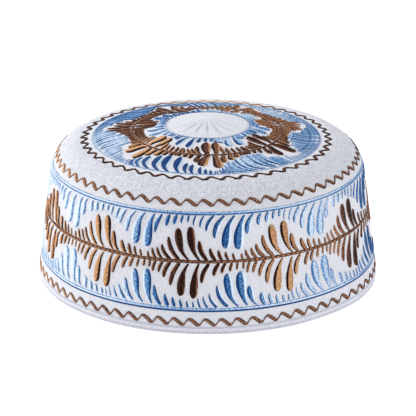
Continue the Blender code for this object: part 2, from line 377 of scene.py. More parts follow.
# Distances along the outline: to the seam between the side and the crown, and to the quilting's two ends
SIDE_SEAM = along_shoulder(math.asin((SIDE_TOP - SHOULDER_CENTRE_HEIGHT) / SHOULDER_RADIUS))
QUILT_START = SIDE_SEAM + SEAM_GAP
QUILT_END = along_shoulder(math.acos((QUILT_END_RADIUS - SHOULDER_CENTRE_RADIUS) / SHOULDER_RADIUS))


def rounded_bump(distance, half_width):
    """1 at the middle of a bump, falling smoothly to 0 at half_width and beyond."""
    if abs(distance) >= half_width:
        return 0.0
    return 0.5 + 0.5 * math.cos(math.pi * distance / half_width)


def bump_at(angle, middle, half_angle):
    """1 at one angle round the cap, falling smoothly to 0 at half_angle to either side."""
    return rounded_bump((angle - middle + HALF_TURN) % FULL_TURN - HALF_TURN, half_angle)


def dent_push(angle, height):
    """How far the cloth stands out of a true circle at this angle and height."""
    if height > DENTS_END:
        return 0.0
    return MM * sum(
        dent.push
        * bump_at(angle, dent.angle, dent.half_angle)
        * rounded_bump(height / MM - dent.height, dent.half_height)
        for dent in DENTS
    )


def smooth_rise(value, start, end):
    """0 up to start, 1 from end on, and a smooth rise between them."""
    share = min(max((value - start) / (end - start), 0.0), 1.0)
    return share * share * (3.0 - 2.0 * share)


def towards_back(angle):
    """1 a little to the right of the back, falling smoothly to 0 in front of the two sides."""
    return bump_at(angle, BACK_ANGLE, BACK_HALF_ANGLE)


def back_sink(angle, height):
    """How far the soft edge of the crown sinks towards the back."""
    edge = smooth_rise(height, SINK_START, SINK_FULL) * (1.0 - smooth_rise(height, SINK_EASES, SINK_END))
    return SINK_DEPTH * edge * towards_back(angle)


def place(chart, angle, along, lift):
    """A chart's point on the cap, lifted along the surface's normal."""
    spot = chart(along)
    radius = spot.radius + lift * math.cos(spot.lean) + dent_push(angle, spot.height)
    turn = math.radians(angle)
    height = spot.height + lift * math.sin(spot.lean) - back_sink(angle, spot.height)
    return Vector((radius * math.sin(turn), -radius * math.cos(turn), height))


def sewn_place(chart, angle, along, lift):
    """A point of the embroidery: on the crown it was sewn nearer the apex towards the back."""
    if chart is crown_chart:
        along -= PATTERN_PULL * smooth_rise(along, PULL_START, PULL_FULL) * towards_back(angle)
    return place(chart, angle, along, lift)


def degree_length(chart, along):
    """Length of one degree round the cap."""
    return chart(along).radius * math.radians(1.0)


# Mesh helpers


def between(start, end, steps):
    """Evenly spaced values from start to end, both included."""
    return [start + (end - start) * i / steps for i in range(steps + 1)]


# What the shaders read at a point: its place on the flat cloth in millimetres, the thread's painted tone of
# sheen or shade there and at the nearest edge, and how far in from that edge it lies, 1 being the middle. A
# cloth's tone is below 1 where painted shade lies in its stitches and creases. All but the place are point
# attributes, named here again.
Look = namedtuple("Look", "flat tone edge inset")
LAYERS = ("tone", "edge", "inset")


def new_bmesh():
    """An empty bmesh with a UV map and the point attributes that the shaders read."""
    bm = bmesh.new()
    bm.loops.layers.uv.new("cloth")
    for name in LAYERS:
        bm.verts.layers.float.new(name)
    return bm


def unit_grid(bm, columns, rows):
    """A new grid whose points run from 0 to 1 in X and in Y."""
    matrix = Matrix.Translation((0.5, 0.5, 0.0)) @ Matrix.Scale(0.5, 4)
    made = bmesh.ops.create_grid(bm, x_segments=columns, y_segments=rows, size=1.0, matrix=matrix)
    return made["verts"]


def lay_grid(bm, columns, rows, shape):
    """Adds a grid and moves each point to where shape puts it.

    shape takes the point's two shares and gives its place and its Look.
    """
    uv_layer = bm.loops.layers.uv["cloth"]
    layers = [(name, bm.verts.layers.float[name]) for name in LAYERS]
    for vert in unit_grid(bm, columns, rows):
        spot, look = shape(vert.co.x, vert.co.y)
        for name, layer in layers:
            vert[layer] = getattr(look, name)
        for loop in vert.link_loops:
            loop[uv_layer].uv = look.flat
        vert.co = spot


def link_object(name, data):
    """A new object in the scene."""
    made = bpy.data.objects.new(name, data)
    bpy.context.scene.collection.objects.link(made)
    return made


def mesh_object(name, bm, material):
    """A new object of one material that takes its mesh from a bmesh."""
    mesh = bpy.data.meshes.new(name)
    bm.to_mesh(mesh)
    bm.free()
    mesh.materials.append(material)
    return link_object(name, mesh)


def finish_piece(name, bm, slot, replaced=()):
    """Turns a bmesh into a piece of the cap, in its slot's material, that rides on its body."""
    bmesh.ops.remove_doubles(bm, verts=bm.verts, dist=SAME_POINT)
    bmesh.ops.recalc_face_normals(bm, faces=bm.faces)
    piece = mesh_object(name, bm, slot_material(slot))
    piece.data.shade_smooth()
    piece.data.set_sharp_from_angle(angle=SHARP_EDGE)
    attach(piece, BODY)
    if replaced:
        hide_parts(*replaced)


def open_edges(bm):
    """The edges of a mesh's patches, once the points that meet are merged."""
    bmesh.ops.remove_doubles(bm, verts=bm.verts, dist=SAME_POINT)
    return [edge for edge in bm.edges if edge.is_boundary]


# Shader helpers


def new_group(name, inputs, outputs):
    """A shader node group with named sockets of given kinds, and its input and output nodes."""
    group = bpy.data.node_groups.new(name, "ShaderNodeTree")
    for direction, sockets in (("INPUT", inputs), ("OUTPUT", outputs)):
        for socket_name, kind in sockets.items():
            group.interface.new_socket(socket_name, in_out=direction, socket_type="NodeSocket" + kind)
    return group, group.nodes.new("NodeGroupInput"), group.nodes.new("NodeGroupOutput")


def set_inputs(node, values):
    """Sets a node's named inputs to plain values."""
    for name, value in values.items():
        node.inputs[name].default_value = value


def feed(tree, socket, value):
    """Links a socket to another node's output, or sets it to a plain value."""
    if isinstance(value, bpy.types.NodeSocket):
        tree.links.new(value, socket)
    else:
        socket.default_value = value


def calculate(tree, operation, *values):
    """A Math node's result."""
    node = tree.nodes.new("ShaderNodeMath")
    node.operation = operation
    for socket, value in zip(node.inputs, values):
        feed(tree, socket, value)
    return node.outputs[0]


def blend_colours(tree, share, first, second):
    """A Mix node's colour, kept between its two colours."""
    node = tree.nodes.new("ShaderNodeMix")
    node.data_type = "RGBA"
    node.clamp_factor = True
    feed(tree, node.inputs["Factor"], share)
    feed(tree, node.inputs[6], first)
    feed(tree, node.inputs[7], second)
    return node.outputs[2]


def swing(tree, value, strength, middle):
    """A noise value stretched so that it swings round a middle value."""
    centred = calculate(tree, "SUBTRACT", value, 0.5)
    return calculate(tree, "MULTIPLY_ADD", centred, strength, middle)


def cloth_noise(tree, vector, scale, detail, roughness=0.5, stretch=1.0):
    """Noise over the cloth, drawn out along its map's first direction where stretch is below 1."""
    mapping = tree.nodes.new("ShaderNodeMapping")
    set_inputs(mapping, {"Scale": (stretch, 1.0, 1.0)})
    tree.links.new(vector, mapping.inputs["Vector"])
    node = tree.nodes.new("ShaderNodeTexNoise")
    node.noise_dimensions = "2D"
    set_inputs(node, {"Scale": scale, "Detail": detail, "Roughness": roughness})
    tree.links.new(mapping.outputs["Vector"], node.inputs["Vector"])
    return node.outputs["Fac"]


def attribute(tree, name):
    """A point attribute of the mesh."""
    node = tree.nodes.new("ShaderNodeAttribute")
    node.attribute_name = name
    return node.outputs["Fac"]


def smooth_fall(tree, value, full, none):
    """1 while a value is below full, falling smoothly to 0 where it reaches none."""
    node = tree.nodes.new("ShaderNodeMapRange")
    node.interpolation_type = "SMOOTHSTEP"
    feed(tree, node.inputs["Value"], value)
    set_inputs(node, {"From Min": full, "From Max": none, "To Min": 1.0, "To Max": 0.0})
    return node.outputs["Result"]


def uv_in_millimetres(tree):
    """The cloth's own UV map, and its two numbers."""
    uv_map = tree.nodes.new("ShaderNodeUVMap")
    uv_map.uv_map = "cloth"
    split = tree.nodes.new("ShaderNodeSeparateXYZ")
    tree.links.new(uv_map.outputs["UV"], split.inputs["Vector"])
    return uv_map.outputs["UV"], split.outputs["X"], split.outputs["Y"]


# The cotton's darker, cooler colour: painted shade in stitches and creases, and the slubs' random mottling,
# blend towards it
SHADED_COTTON = (0.52, 0.53, 0.65, 1.0)
# The cotton's share of its shaded colour: everywhere, by its slubs and by its slow drift
BASE_SHADE = 0.10
SLUB_SHADE = 1.7
DRIFT_SHADE = 0.2


def cotton_weave_group():
    """Plain weave for the cloths: a bump height, a shade that varies a little and painted shade from the tone
    layer.
    """
    name = "Cotton Weave"
    if name in bpy.data.node_groups:
        return bpy.data.node_groups[name]
    group, given, result = new_group(
        name,
        {"Colour": "Color", "Pitch": "Float"},
        {"Colour": "Color", "Height": "Float"},
    )
    flat, across, along = uv_in_millimetres(group)
    turns = calculate(group, "DIVIDE", 2 * math.pi, given.outputs["Pitch"])
    warp = calculate(group, "SINE", calculate(group, "MULTIPLY", across, turns))
    weft = calculate(group, "SINE", calculate(group, "MULTIPLY", along, turns))
    crossing = calculate(group, "MULTIPLY", warp, weft)
    slubs = cloth_noise(group, flat, scale=0.75, detail=5.0, roughness=0.75)
    rough = calculate(group, "MULTIPLY_ADD", slubs, 5.0, calculate(group, "MULTIPLY", crossing, 0.4))
    feed(group, result.inputs["Height"], rough)
    drift = cloth_noise(group, flat, scale=0.16, detail=2.0)
    share = swing(group, drift, DRIFT_SHADE, swing(group, slubs, SLUB_SHADE, BASE_SHADE))
    painted_shade = calculate(group, "SUBTRACT", 1.0, attribute(group, "tone"))
    share = calculate(group, "ADD", painted_shade, share)
    feed(group, result.inputs["Colour"], blend_colours(group, share, given.outputs["Colour"], SHADED_COTTON))
    return group


# Distance between the threads of the satin stitch, in millimetres
THREAD_PITCH = 0.45
# Where the painted tone of a leaf's edge, its sheen or its shade, starts and ends to give way to that of its
# middle
EDGE_FULL = 0.28
EDGE_GONE = 0.75


def satin_stitch_group():
    """Satin stitch: streaks across the leaf in painted shade, colour and painted sheen, and its threads'
    height.
    """
    name = "Satin Stitch"
    if name in bpy.data.node_groups:
        return bpy.data.node_groups[name]
    group, given, result = new_group(
        name,
        {"Dark": "Color", "Middle": "Color", "Light": "Color", "Streaks": "Float"},
        {"Colour": "Color", "Height": "Float", "Roughness": "Float"},
    )
    flat, _, along = uv_in_millimetres(group)
    tone = attribute(group, "tone")
    # Near a leaf's edge its tone gives way to the edge's painted sheen or painted shade
    near_edge = smooth_fall(group, attribute(group, "inset"), EDGE_FULL, EDGE_GONE)
    to_edge = calculate(group, "SUBTRACT", attribute(group, "edge"), tone)
    edged = calculate(group, "MULTIPLY_ADD", to_edge, near_edge, tone)
    streaks = cloth_noise(group, flat, scale=1.2, detail=3.0, roughness=0.65, stretch=0.7)
    strength = calculate(group, "MULTIPLY_ADD", edged, -0.35, 1.0)
    strength = calculate(group, "MULTIPLY", given.outputs["Streaks"], strength)
    lower = calculate(group, "MULTIPLY", swing(group, streaks, strength, edged), 2.0)
    upper = calculate(group, "SUBTRACT", lower, 1.0)
    first = blend_colours(group, lower, given.outputs["Dark"], given.outputs["Middle"])
    feed(group, result.inputs["Colour"], blend_colours(group, upper, first, given.outputs["Light"]))
    thread = calculate(group, "SINE", calculate(group, "MULTIPLY", along, 2 * math.pi / THREAD_PITCH))
    feed(group, result.inputs["Height"], calculate(group, "MULTIPLY_ADD", streaks, 3.0, thread))
    feed(group, result.inputs["Roughness"], calculate(group, "MULTIPLY_ADD", streaks, 0.3, 0.35))
    return group


def start_material(name, group, strength, distance):
    """A material with a Principled shader whose colour and bump come from a group."""
    material = bpy.data.materials.new(name)
    material.use_nodes = True
    tree = material.node_tree
    shader = tree.nodes["Principled BSDF"]
    effect = tree.nodes.new("ShaderNodeGroup")
    effect.node_tree = group
    bump = tree.nodes.new("ShaderNodeBump")
    set_inputs(bump, {"Strength": strength, "Distance": distance})
    tree.links.new(effect.outputs["Colour"], shader.inputs["Base Color"])
    tree.links.new(effect.outputs["Height"], bump.inputs["Height"])
    tree.links.new(bump.outputs["Normal"], shader.inputs["Normal"])
    return material, shader, effect


# How light each cloth's cotton is beside the crown's: painted shade that makes lit and shaded copies of one
# cotton
PAINTED_COTTON_SHADES = {"hem_cotton": 0.93, "band_cotton": 0.90, "crown_cotton": 1.0, "centre_cotton": 0.96}


def cotton_material(name, slot):
    """Bleached cotton for the cloth of one slot."""
    settings = bpy.context.scene.cap_cloth
    material, shader, effect = start_material(name, cotton_weave_group(), 0.8, 0.16 * MM)
    cotton = [PAINTED_COTTON_SHADES[slot] * part for part in settings.cotton]
    set_inputs(effect, {"Colour": (*cotton, 1.0), "Pitch": settings.weave_pitch / MM})
    set_inputs(shader, {"Roughness": 0.92, "Sheen Weight": 0.15})
    return material


def thread_material(name, slot):
    """Shiny embroidery thread of one slot, brown_thread or blue_thread: painted shade, colour and painted
    sheen.
    """
    material, shader, effect = start_material(name, satin_stitch_group(), 0.6, 0.06 * MM)
    for tone in ("Dark", "Middle", "Light"):
        painted_colour = getattr(bpy.context.scene.cap_thread, slot.replace("thread", tone.lower()))
        set_inputs(effect, {tone: (*painted_colour, 1.0)})
    set_inputs(effect, {"Streaks": 1.8})
    set_inputs(shader, {"Specular IOR Level": 0.06})
    material.node_tree.links.new(effect.outputs["Roughness"], shader.inputs["Roughness"])
    return material


def slot_material(slot):
    """The material of one slot, made when its first piece is finished."""
    if slot in PAINTED_COTTON_SHADES:
        name, make = "woven_" + slot, cotton_material
    else:
        name, make = slot.replace("thread", "satin"), thread_material
    return bpy.data.materials.get(name) or make(name, slot)


# Cloth

# How deep the side's edges are tucked under the cloths that they are sewn to
SEAM_TUCK = 0.35 * MM

# One row of a cloth's cross-section: its place in its chart and its lift. The rows that show have no lift.
ClothRow = namedtuple("ClothRow", "chart along lift")


def face_rows(chart, lift, start, end, steps):
    """The rows of one face of a cloth."""
    return [ClothRow(chart, along, lift) for along in between(start, end, steps)]


def cloth_wall(name, rows, columns, relief, slot, replaced, cloth_map):
    """A closed cloth wall turned round the axis from the rows of its cross-section.

    relief takes an angle and a distance along the chart, and gives how far the cloth swells there and how
    much painted shade lies in its stitches and creases. cloth_map gives the UV of a point.
    """
    bm = new_bmesh()

    def shape(turned, crossed):
        row = rows[round(crossed * (len(rows) - 1))]
        angle = turned * FULL_TURN - HALF_TURN
        swell, shade = relief(angle, row.along) if row.lift == 0.0 else (0.0, 0.0)
        spot = place(row.chart, angle, row.along, row.lift + swell)
        return spot, Look(cloth_map(angle, row, spot), 1.0 - shade, 1.0, 1.0)

    lay_grid(bm, columns, len(rows) - 1, shape)
    finish_piece(name, bm, slot, replaced)


def wrapped_map(angle, row, spot):
    """UV of cloth that goes round the cap upright."""
    return math.radians(angle) * RIM_RADIUS / MM, row.along / MM


def flat_map(angle, row, spot):
    """UV of cloth that lies flat on top of the cap."""
    return spot.x / MM, spot.y / MM


def soft_unevenness(angle, along, size, depth):
    """Slight hollows and swellings that sewn cotton always has."""
    turn = math.radians(angle)
    spot = Vector((math.sin(turn), -math.cos(turn), along / RIM_RADIUS)) * (RIM_RADIUS / size)
    return depth * noise.noise(spot)


def hem_relief(angle, along):
    """Two rows of stitches that hold the turned-in edge, with painted shade in them and in fine ribs between
    them.
    """
    depth = 0.0
    for index, row in enumerate(HEM_ROW_HEIGHTS):
        near = math.exp(-(((along - row) / HEM_STITCH_WIDTH) ** 2))
        hole = 0.5 + 0.5 * math.cos(math.radians(angle * HEM_STITCHES) + index * math.pi)
        depth += near * hole**2
    ribs = max(0.0, soft_unevenness(angle, HEM_RIB_STRETCH * along, HEM_RIB_SIZE, HEM_RIB_SHADE))
    swell = soft_unevenness(angle, along, *HEM_HOLLOWS)
    return swell - HEM_STITCH_DEPTH * depth, HEM_STITCH_SHADE * depth + ribs


def hem_rows(thickness):
    """Cross-section of the hem: its outer face, its inner face and its rounded lower edge."""
    outer = face_rows(side_chart, 0.0, EDGE_ROUNDING, HEM_TOP, 12)
    inner = face_rows(side_chart, -thickness, HEM_TOP, EDGE_ROUNDING, 3)
    under = [
        ClothRow(side_chart, 0.3 * EDGE_ROUNDING, EDGE_ROUNDING - thickness),
        ClothRow(side_chart, 0.0, -1.3 * EDGE_ROUNDING),
        ClothRow(side_chart, 0.3 * EDGE_ROUNDING, -0.35 * EDGE_ROUNDING),
    ]
    return outer + inner + under + outer[:1]


def side_relief(angle, along):
    """The side is smooth, and only slightly uneven between its embroidery."""
    return soft_unevenness(angle, along, *SIDE_HOLLOWS), 0.0


def side_rows(thickness):
    """Cross-section of the side, up to the seam on the shoulder."""
    bottom = SIDE_BOTTOM / math.cos(SIDE_LEAN)
    outer = face_rows(side_chart, 0.0, bottom, SIDE_SEAM, 44)
    inner = face_rows(side_chart, -thickness, SIDE_SEAM, bottom, 10)
    under_hem = ClothRow(side_chart, bottom - 2 * SEAM_GAP, -SEAM_TUCK)
    under_crown = ClothRow(side_chart, SIDE_SEAM + 2 * SEAM_GAP, -SEAM_TUCK)
    return [under_hem] + outer + [under_crown] + inner + [under_hem]


def quilt_relief(angle, along):
    """Rows of backstitch that pull the shoulder in, each stitch with its own small pit, and painted shade
    there and in puckers.
    """
    row = (along - QUILT_START) / (QUILT_END - QUILT_START) * QUILT_ROWS
    valley = math.exp(-(((row - round(row)) / QUILT_VALLEY) ** 2))
    pit = 0.5 + 0.5 * math.cos(math.radians(angle * PITS_PER_ROW))
    pucker = soft_unevenness(angle, PUCKER_STRETCH * along, PUCKER_SIZE, 1.0)
    stitch = valley * (0.1 + 0.9 * pit**3) * (0.7 - 0.6 * pucker)
    swell = soft_unevenness(angle, along, *QUILT_HOLLOWS)
    swell += bpy.context.scene.cap_cloth.quilt_depth * (0.4 * pucker - stitch)
    return swell, QUILT_STITCH_SHADE * stitch + max(0.0, -PUCKER_SHADE * pucker)


def crown_relief(angle, along):
    """The quilting, whose rows lie further along than any radius inside it, and the smooth crown."""
    if along > CROWN_EDGE.radius + SAME_POINT:
        return quilt_relief(angle, along)
    return soft_unevenness(angle, along, *CROWN_HOLLOWS), 0.0


def crown_rows(thickness):
    """Cross-section of the crown's cloth, from the seam over the quilting to the gathered centre."""
    edge = CROWN_EDGE.radius
    quilted = face_rows(side_chart, 0.0, QUILT_START, QUILT_END, 4 * QUILT_ROWS)
    smooth = face_rows(crown_chart, 0.0, edge, CROWN_INNER_RADIUS, 12)
    inner = face_rows(crown_chart, -thickness, CROWN_INNER_RADIUS, edge, 4)
    inner += face_rows(side_chart, -thickness, along_shoulder(CROWN_EDGE.lean), QUILT_START, 4)[1:]
    return quilted + smooth + inner + quilted[:1]


def centre_relief(angle, radius):
    """Gathers: creases, painted in shade, that run to the apex, deepest in front, with softly puffed panels
    between them.
    """
    depth = bpy.context.scene.cap_cloth.gather_depth
    if radius < GATHER_DEEPEST_RADIUS:
        reach = radius / GATHER_DEEPEST_RADIUS
    else:
        reach = (CENTRE_RADIUS - radius) / (CENTRE_RADIUS - GATHER_DEEPEST_RADIUS)
    crease = 1.0 - abs(math.sin(math.radians(GATHERS * angle / 2.0)))
    front = max(math.cos(math.radians(angle)), 0.0)
    crease = crease**GATHER_SHARPNESS * max(reach, 0.0) * (0.25 + 0.75 * front)
    return -depth * crease, GATHER_SHADE * crease


def centre_rows(thickness):
    """Cross-section of the centre disc, from the apex to its edge and back underneath."""
    outer = face_rows(crown_chart, 0.0, 0.0, CENTRE_RADIUS, 22)
    return outer + face_rows(crown_chart, -thickness, CENTRE_RADIUS, 0.0, 5)


# Embroidery


def thread_at(table, angle):
    """The thread at an angle, blended between the nearest rows of its table."""
    angle %= FULL_TURN
    after = next((i for i, entry in enumerate(table) if entry.angle % FULL_TURN > angle), 0)
    before, following = table[after - 1], table[after]
    share = (angle - before.angle) % FULL_TURN / ((following.angle - before.angle) % FULL_TURN)
    return Thread(*(a + (b - a) * share for a, b in zip(before, following)))


# How one kind of leaf is sewn: how wide the roots of its broad and of its slim leaves are for their bodies,
# how pointed their tips, and the fullness from which each leaf is sewn as two slender ones side by side
LeafStyle = namedtuple("LeafStyle", "root slim_root point doubled", defaults=(math.inf,))
# Each of the two lies this share of the leaf's width beside its middle, and has this share of its fullness
PAIR_ASIDE = 0.4
PAIR_FULLNESS = 0.42
# The fullness from which most of the crown's leaves are sewn so
CROWN_DOUBLED = 1.52
# How unlike each other the leaves are, in tone, in fullness and in degrees round the cap
TONE_SPREAD = 0.09
FULLNESS_SPREAD = (0.93, 1.07)
SHIFT_SPREAD = 0.12

# Widths in millimetres up to which a leaf is a slim bar and from which it is broad
SLIM_WIDTH = 2.8
BROAD_WIDTH = 3.8
# Full thread widens slim leaves up to this width, in millimetres, and broad ones only by this share
FULL_SLIM_WIDTH = 4.8
FULL_BROAD_SHARE = 1.35
STITCH_SLANT = 0.35
RIDGE_HEIGHT = 0.05 * MM
LEAF_ROW_LENGTH = 0.62 * MM
FEWEST_ROWS = 8
MOST_ROWS = 30
# A leaf rises from its root over this share of its length, and it is as full across as this power says
ROOT_RISE = 0.12
PADDING_POWER = 0.6


def leaf_width_at(share, root, slim, point):
    """A leaf's width at a share of its length: a slim leaf is a bar, and a broad one widens late."""
    widest = 0.70 - 0.25 * slim - 0.10 * point
    if share < widest:
        return root + (1.0 - root) * math.sin(math.pi / 2 * share / widest) ** 2
    fall = (share - widest) / (1.0 - widest)
    rounded = math.sqrt(max(0.0, 1.0 - fall**3))
    tapered = max(0.0, 1.0 - fall**2)
    return rounded + (tapered - rounded) * min(1.0, point * (1.0 + 1.2 * slim))


def leaf_bend_at(share, slim):
    """How much of its run a leaf has made at a share of its length, and how fast it runs there."""
    power = 4.5 - 2.3 * slim
    curved = 0.75 + 0.25 * slim
    rest = 1.0 - share
    bent = curved * (1.0 - rest**power) + (1.0 - curved) * share
    return bent, curved * power * rest ** (power - 1.0) + 1.0 - curved


def add_leaf(bm, chart, start, leaf, turned, thread, style, relief):
    """One padded leaf in satin stitch, as a patch whose edge is buried in the cloth."""
    buried = bpy.context.scene.cap_thread.buried_edge
    reach = leaf.reach * MM
    length = abs(reach - start)
    width = min(leaf.width * thread.fullness, max(FULL_SLIM_WIDTH, leaf.width * FULL_BROAD_SHARE))
    half_width = width * MM / 2
    slim = min(1.0, max(0.0, (BROAD_WIDTH - width) / (BROAD_WIDTH - SLIM_WIDTH)))
    root_share = style.root + (style.slim_root - style.root) * slim
    rows = max(FEWEST_ROWS, min(MOST_ROWS, round(length / LEAF_ROW_LENGTH)))
    columns = 6 if width > 2.2 else 4
    height = relief * min(1.0, 0.45 + 0.13 * width)
    run = leaf.tip - leaf.root
    slant = STITCH_SLANT * half_width / length

    def shape(crossed, risen):
        across = 2 * crossed - 1
        share = risen + slant * across * 4 * risen * (1 - risen)
        share = min(1.0, max(0.0, share))
        middle = start + (reach - start) * share
        bent, speed = leaf_bend_at(share, slim)
        angle = leaf.root + turned + thread.shift + run * bent
        degree = degree_length(chart, middle)
        sideways = run * speed * degree
        direction = Vector((sideways, reach - start)).normalized()
        normal = Vector((abs(direction.y), -direction.x * math.copysign(1.0, direction.y)))
        half = half_width * leaf_width_at(share, root_share, slim, style.point)
        angle += normal.x * half * across / degree
        along = middle + normal.y * half * across
        dome = (1 - across * across) ** PADDING_POWER * min(1.0, share / ROOT_RISE)
        ridge = RIDGE_HEIGHT * (1 if round(risen * rows) % 2 else -1) * dome
        # Each side of the leaf takes its own painted tone, sheen or shade
        edge = thread.lower if across < 0 else thread.higher
        flat = (half * across / MM, length * share / MM)
        look = Look(flat, thread.middle, edge, 1 - abs(across))
        return sewn_place(chart, angle, along, (height + buried) * dome - buried + ridge), look

    lay_grid(bm, columns, rows, shape)


def leaf_set(name, slot, chart, table, sides):
    """All the leaves of one kind round the cap, each a little unlike the next.

    sides holds, for each side of a stem or line, where its leaves start, one repeat of them and their style.
    """
    repeats = CROWN_REPEATS if chart is crown_chart else SIDE_REPEATS
    relief = bpy.context.scene.cap_thread.leaf_relief
    bm = new_bmesh()
    chance = random.Random(name)
    for start, one_repeat, style in sides:
        for index in range(repeats):
            turned = index * FULL_TURN / repeats
            for leaf in one_repeat:
                thread = thread_at(table, leaf.tip + turned)
                doubled = thread.fullness > style.doubled
                share = PAIR_FULLNESS if doubled else 1.0
                aside = PAIR_ASIDE * leaf.width * MM / degree_length(chart, (start + leaf.reach * MM) / 2)
                for shift in (-aside, aside) if doubled else (0.0,):
                    sewn = thread._replace(
                        middle=thread.middle + chance.uniform(-TONE_SPREAD, TONE_SPREAD),
                        fullness=thread.fullness * share * chance.uniform(*FULLNESS_SPREAD),
                        shift=thread.shift + shift + chance.uniform(-SHIFT_SPREAD, SHIFT_SPREAD),
                    )
                    add_leaf(bm, chart, start, leaf, turned, sewn, style, relief)
    bmesh.ops.holes_fill(bm, edges=open_edges(bm), sides=0)
    finish_piece(name, bm, slot)


def thread_ring(name, chart, columns, rows, shape, slot):
    """A piece of thread that goes all the way round the cap, closed underneath.

    shape takes an angle and -1 to 1 across the thread, and gives the shift round the cap, the distance
    along the chart, the lift, and the tones in the middle of the thread and at its edge.
    """

    def placed(turned, crossed):
        angle = turned * FULL_TURN - HALF_TURN
        across = 2 * crossed - 1
        sideways, along, lift, tone, edge = shape(angle, across)
        degree = degree_length(chart, along)
        flat = (across, math.radians(angle) * chart(along).radius / MM)
        look = Look(flat, tone, edge, 1 - abs(across))
        return sewn_place(chart, angle + sideways / degree, along, lift), look

    bm = new_bmesh()
    lay_grid(bm, columns, rows, placed)
    bmesh.ops.bridge_loops(bm, edges=open_edges(bm))
    finish_piece(name, bm, slot)


def line_lift(across, power, share, relief=1.0):
    """Lift of a line's thread: its edges lie buried, and relief is its share of the full height."""
    settings = bpy.context.scene.cap_thread
    height = relief * settings.line_relief + settings.buried_edge
    return height * (1 - across * across) ** power * share - settings.buried_edge


def stem(name, chart, table, middle, half_width, twists, lighter):
    """A stem of short slanting stitches laid one over the other, like a fine rope."""

    def shape(angle, across):
        strand = 0.5 + 0.5 * math.cos(math.radians(angle * twists) + 1.9 * across)
        lift = line_lift(across, 0.5, 0.55 + 0.45 * strand)
        # The stem follows the leaves' painted sheen, raised by its lightness, with painted shade between its
        # twisted strands
        tone = thread_at(table, angle).middle * 0.20 + lighter
        return 0.0, middle + half_width * across, lift, tone * (0.30 + 0.70 * strand), 0.0

    thread_ring(name, chart, twists * 8, 6, shape, "brown_thread")


def edge_line(name, chart, table, middle, half_width, dark, stitches):
    """A line of two strands of satin stitch, of which the one nearer the chart's start is the darker, in
    painted shade.

    The other carries painted sheen, stronger on each stitch and where the thread grows lighter, and there its
    far edge darkens in painted shade.
    """

    def shape(angle, across):
        stitch = 0.5 + 0.5 * math.cos(math.radians(angle * stitches) + 1.5 * across)
        lift = line_lift(across, 0.4, 0.85 + 0.15 * stitch, 0.8)
        thread = thread_at(table, angle)
        if across < 0.0:
            tone = dark + 0.15 * thread.middle
        elif across > 0.6:
            tone = 0.60 - 0.20 * thread.middle
        else:
            tone = 0.60 + 0.35 * thread.middle + 0.12 * stitch
        return 0.0, middle + half_width * across, lift, tone, tone

    thread_ring(name, chart, stitches * 2, 8, shape, "blue_thread")


# How far a wave's strokes lean one way
WAVE_SKEW = 0.6


def wave(name, chart, middle, rise, waves, crest, pen, tones, paler_at):
    """A wavy line whose strokes one way are thick and the others thin.

    pen is half of the thin strokes' width and half of the thick strokes' width, and tones are those in the
    line's middle and at its edges, painted shade darkening the edges. The thread is painted paler round one
    angle: paler_at is that angle, its half angle and how much paler it is there.
    """
    thin, thick = pen
    middle_tone, edge_tone = tones
    pale_angle, pale_half_angle, pale_amount = paler_at
    steepest = abs(rise) * waves / chart(middle).radius

    def shape(angle, across):
        phase = math.radians((angle - crest) * waves)
        speed = 1 - WAVE_SKEW * math.sin(phase) / 2
        phase -= WAVE_SKEW * (1 - math.cos(phase)) / 2
        slope = -math.sin(phase) * speed * steepest * math.copysign(1.0, rise)
        half = thin + (thick - thin) * (0.5 - 0.5 * slope / steepest)
        normal = Vector((-slope, 1.0)).normalized() * half * across
        groove = 0.75 + 0.25 * abs(across) ** 0.5
        paler = pale_amount * bump_at(angle, pale_angle, pale_half_angle)
        # Painted shade darkens the line's middle, the groove between its strands
        tone = middle_tone * (0.6 + 0.4 * min(1.0, 2.5 * abs(across))) + paler
        along = middle + rise * math.cos(phase) + normal.y
        return normal.x, along, line_lift(across, 0.5, groove), tone, edge_tone + paler

    thread_ring(name, chart, waves * 18, 8, shape, "brown_thread")


# For each side of a stem or line: where its leaves start, one repeat of them, and their style
SIDE_VINE = (
    (SIDE_STEM + 0.4 * MM, SIDE_VINE_UP, LeafStyle(0.27, 0.8, 0.1)),
    (SIDE_STEM - 0.6 * MM, SIDE_VINE_DOWN, LeafStyle(0.27, 0.8, 0.0)),
)
SIDE_FERN = (
    (UPPER_LINE - 0.9 * MM, SIDE_BLUE_HANGING, LeafStyle(0.27, 0.6, 0.1)),
    (LOWER_LINE + 0.8 * MM, SIDE_BLUE_RISING, LeafStyle(0.27, 1.0, 0.3)),
)
CROWN_VINE = (
    (CROWN_STEM + 0.4 * MM, CROWN_VINE_OUT, LeafStyle(0.65, 0.7, 0.1, CROWN_DOUBLED)),
    (CROWN_STEM - 0.4 * MM, CROWN_VINE_IN, LeafStyle(0.50, 0.8, 0.2, CROWN_DOUBLED)),
)
CROWN_FERN = (
    (OUTER_LINE, CROWN_BLUE_OUT, LeafStyle(0.25, 0.8, 0.1, CROWN_DOUBLED)),
    (INNER_LINE, CROWN_BLUE_IN, LeafStyle(0.25, 0.6, 0.1)),
)

# Each stem's name, chart and thread, its place in the chart, half width, number of twists and the lightness of
# its painted tone
STEMS = (
    ("side_vine_stem", side_chart, SIDE_VINE_THREAD, SIDE_STEM, 1.05 * MM, 190, 0.58),
    ("crown_vine_stem", crown_chart, CROWN_VINE_THREAD, CROWN_STEM, 0.95 * MM, 110, 0.52),
)

